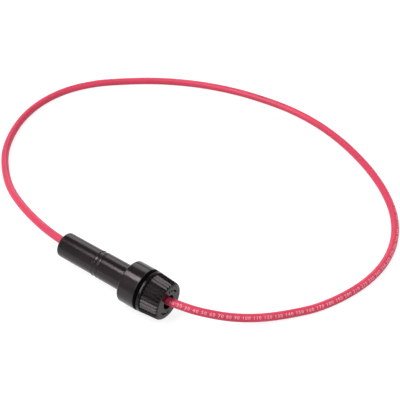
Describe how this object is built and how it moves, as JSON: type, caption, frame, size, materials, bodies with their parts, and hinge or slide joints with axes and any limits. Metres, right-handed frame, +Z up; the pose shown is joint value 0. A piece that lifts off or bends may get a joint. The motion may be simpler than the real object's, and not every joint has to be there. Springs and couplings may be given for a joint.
{
  "type": "inline fuse holder",
  "caption": "Black moulded inline holder for a small glass fuse, with a knurled screw cap, sealing ring and a closed loop of insulated wire.",
  "frame": {"origin": "on the surface that the holder lies on, under the middle of the holder's body, without the wire", "axes": "+X along the holder's axis from the tail end to the cap, +Y from the holder towards its loop of wire, +Z up"},
  "size_m": [0.163, 0.1264, 0.015],
  "materials": {
    "black_moulding": "glossy moulded black",
    "black_cap": "glossy moulded black, knurled",
    "black_rubber": "matt",
    "red_jacket": "satin extruded, pink-red",
    "brass": "satin",
    "spring_steel": "drawn",
    "nickel_plate": "plated",
    "solder": "dull",
    "copper": "bright strands",
    "fuse_glass": "clear"
  },
  "bodies": {
    "barrel": {"barrel": "black_moulding", "tail_sleeve": "black_moulding", "rear_contact": "brass", "rear_conductor": "copper", "wire_rear": "red_jacket"},
    "front_lead": {"front_contact": "brass", "front_conductor": "copper", "contact_spring": "spring_steel", "fuse_glass": "fuse_glass", "fuse_front_cap": "nickel_plate", "fuse_rear_cap": "nickel_plate", "fuse_element": "spring_steel", "fuse_front_solder": "solder", "fuse_rear_solder": "solder", "wire_front": "red_jacket"},
    "washer": {"spring_washer": "spring_steel"},
    "cap": {"cap": "black_cap", "sealing_ring": "black_rubber"}
  },
  "joints": [
    {"name": "pull_off", "type": "slide", "parent": "barrel", "child": "front_lead", "axis": [1, 0, 0], "range_m": [0, 0.03]},
    {"name": "cap_travel", "type": "slide", "parent": "front_lead", "child": "washer", "axis": [1, 0, 0], "range_m": [0, 0.00375], "deforming": ["contact_spring"]},
    {"name": "cap_turn", "type": "hinge", "parent": "washer", "child": "cap", "pos_m": [0.0145, 0, 0.00752], "axis": [1, 0, 0], "range_deg": [0, 900]}
  ],
  "couplings": [
    {"joint": "cap_turn", "follows": "cap_travel", "rad_per_m": 4188.8}
  ]
}
